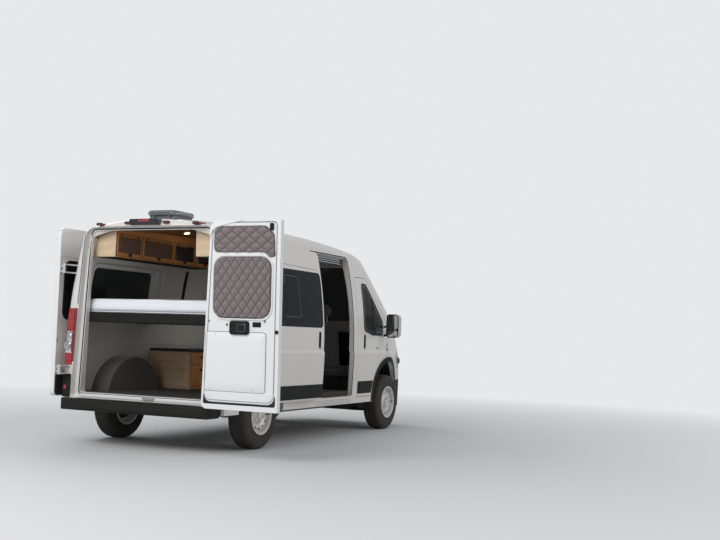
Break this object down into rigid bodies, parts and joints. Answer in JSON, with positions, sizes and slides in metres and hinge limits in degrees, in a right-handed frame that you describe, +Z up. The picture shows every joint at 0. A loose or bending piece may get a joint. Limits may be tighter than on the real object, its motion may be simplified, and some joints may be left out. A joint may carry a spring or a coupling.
{
  "type": "camper van",
  "caption": "High-roofed camper van with opening rear and cab doors, an open sliding side door, a steerable front axle and a fitted living space",
  "frame": {"origin": "middle of the footprint of the whole van with its doors open as stored, at ground level", "axes": "+X forward, +Y to the left side of the van, +Z up"},
  "size_m": [5.6918, 3.159, 2.57],
  "materials": {
    "body_paint": "light silver-white paint, glossy",
    "dark_plastic": "grained dark moulding",
    "glass_dark": "dark tinted glass",
    "lamp_red": "red lamp lens",
    "lamp_clear": "clear lamp lens",
    "steel_rim": "silver painted steel",
    "tyre": "black rubber",
    "running_gear": "black and raw metal",
    "steel": "plain steel",
    "quilt": "quilted grey-brown fabric",
    "mattress": "white cloth",
    "wood": "orange-brown wood",
    "ply": "pale plywood",
    "lining": "cream lining boards",
    "worktop": "black worktop",
    "seat": "grey cloth",
    "floor": "dark floor mat"
  },
  "bodies": {
    "van": {"bed_frame": "dark_plastic", "body_glass": "glass_dark", "cab_front": "body_paint", "cab_seats": "seat", "cladding": "dark_plastic", "dashboard": "dark_plastic", "engine_block": "running_gear", "exhaust": "steel", "fan_base": "dark_plastic", "floor_pan": "floor", "front_bumper": "dark_plastic", "front_suspension": "running_gear", "fuel_tank": "dark_plastic", "galley_cabinet": "ply", "grille": "dark_plastic", "headlamps": "lamp_clear", "housings_front": "dark_plastic", "housings_rear": "dark_plastic", "interior_lining": "lining", "mattress": "mattress", "overhead_cabinets": "wood", "rear_axle": "running_gear", "rear_bumper": "dark_plastic", "rear_frame": "body_paint", "rear_lamps": "lamp_red", "roof_panel": "body_paint", "side_panel_left": "body_paint", "side_panel_right": "body_paint", "slide_track": "steel", "sliding_door": "body_paint", "underframe": "running_gear", "worktop": "worktop"},
    "knuckle_body_left": {"knuckle_left": "running_gear"},
    "wheel_front_left": {"tyre_front_left": "tyre", "rim_front_left": "steel_rim"},
    "wheel_rear_left": {"tyre_rear_left": "tyre", "rim_rear_left": "steel_rim"},
    "cab_door_body_left": {"cab_door_left": "body_paint", "cab_glass_left": "glass_dark", "mirror_left": "dark_plastic"},
    "rear_door_body_left": {"rear_door_left": "body_paint", "rear_glass_left": "glass_dark", "rear_pads_left": "quilt"},
    "knuckle_body_right": {"knuckle_right": "running_gear"},
    "wheel_front_right": {"tyre_front_right": "tyre", "rim_front_right": "steel_rim"},
    "wheel_rear_right": {"tyre_rear_right": "tyre", "rim_rear_right": "steel_rim"},
    "cab_door_body_right": {"cab_door_right": "body_paint", "cab_glass_right": "glass_dark", "mirror_right": "dark_plastic"},
    "rear_door_body_right": {"rear_door_right": "body_paint", "rear_glass_right": "glass_dark", "rear_pads_right": "quilt"},
    "bonnet_body": {"bonnet": "body_paint"},
    "fan_lid_body": {"fan_lid": "dark_plastic"},
    "steering_wheel_body": {"steering_wheel": "dark_plastic"}
  },
  "joints": [
    {"name": "steer_left", "type": "hinge", "parent": "van", "child": "knuckle_body_left", "pos_m": [1.90197, 1.1545, 0.372], "axis": [0, 0, 1], "range_deg": [-32, 32]},
    {"name": "spin_front_left", "type": "hinge", "parent": "knuckle_body_left", "child": "wheel_front_left", "pos_m": [1.90197, 1.1995, 0.372], "axis": [0, 1, 0], "continuous": true},
    {"name": "spin_rear_left", "type": "hinge", "parent": "van", "child": "wheel_rear_left", "pos_m": [-1.54803, 1.1895, 0.372], "axis": [0, 1, 0], "continuous": true},
    {"name": "cab_door_left_hinge", "type": "hinge", "parent": "van", "child": "cab_door_body_left", "pos_m": [1.84397, 1.3215, 1.2], "axis": [0, 0, -1], "range_deg": [0, 68]},
    {"name": "steer_right", "type": "hinge", "parent": "van", "child": "knuckle_body_right", "pos_m": [1.90197, -0.5655, 0.372], "axis": [0, 0, 1], "range_deg": [-32, 32]},
    {"name": "spin_front_right", "type": "hinge", "parent": "knuckle_body_right", "child": "wheel_front_right", "pos_m": [1.90197, -0.6105, 0.372], "axis": [0, 1, 0], "continuous": true},
    {"name": "spin_rear_right", "type": "hinge", "parent": "van", "child": "wheel_rear_right", "pos_m": [-1.54803, -0.6005, 0.372], "axis": [0, 1, 0], "continuous": true},
    {"name": "cab_door_right_hinge", "type": "hinge", "parent": "van", "child": "cab_door_body_right", "pos_m": [1.84397, -0.7325, 1.2], "axis": [0, 0, 1], "range_deg": [0, 68]},
    {"name": "rear_door_left_hinge", "type": "hinge", "parent": "van", "child": "rear_door_body_left", "pos_m": [-2.58803, 1.2345, 1.35], "axis": [0, 0, -1], "range_deg": [-270, 0]},
    {"name": "rear_door_right_hinge", "type": "hinge", "parent": "van", "child": "rear_door_body_right", "pos_m": [-2.58803, -0.6455, 1.35], "axis": [0, 0, 1], "range_deg": [-180, 90]},
    {"name": "bonnet_hinge", "type": "hinge", "parent": "van", "child": "bonnet_body", "pos_m": [2.30197, 0.2945, 1.362], "axis": [0, -1, 0], "range_deg": [0, 55]},
    {"name": "fan_lid_hinge", "type": "hinge", "parent": "van", "child": "fan_lid_body", "pos_m": [-2.13503, 0.2945, 2.52], "axis": [0, -1, 0], "range_deg": [0, 45]},
    {"name": "steering_wheel_turn", "type": "hinge", "parent": "van", "child": "steering_wheel_body", "pos_m": [1.51197, 0.7745, 1.17], "axis": [-0.8829, 0, 0.4695], "range_deg": [-448, 448]}
  ],
  "couplings": [
    {"joint": "steer_right", "follows": "steer_left", "ratio": 1},
    {"joint": "steering_wheel_turn", "follows": "steer_left", "ratio": 14}
  ]
}
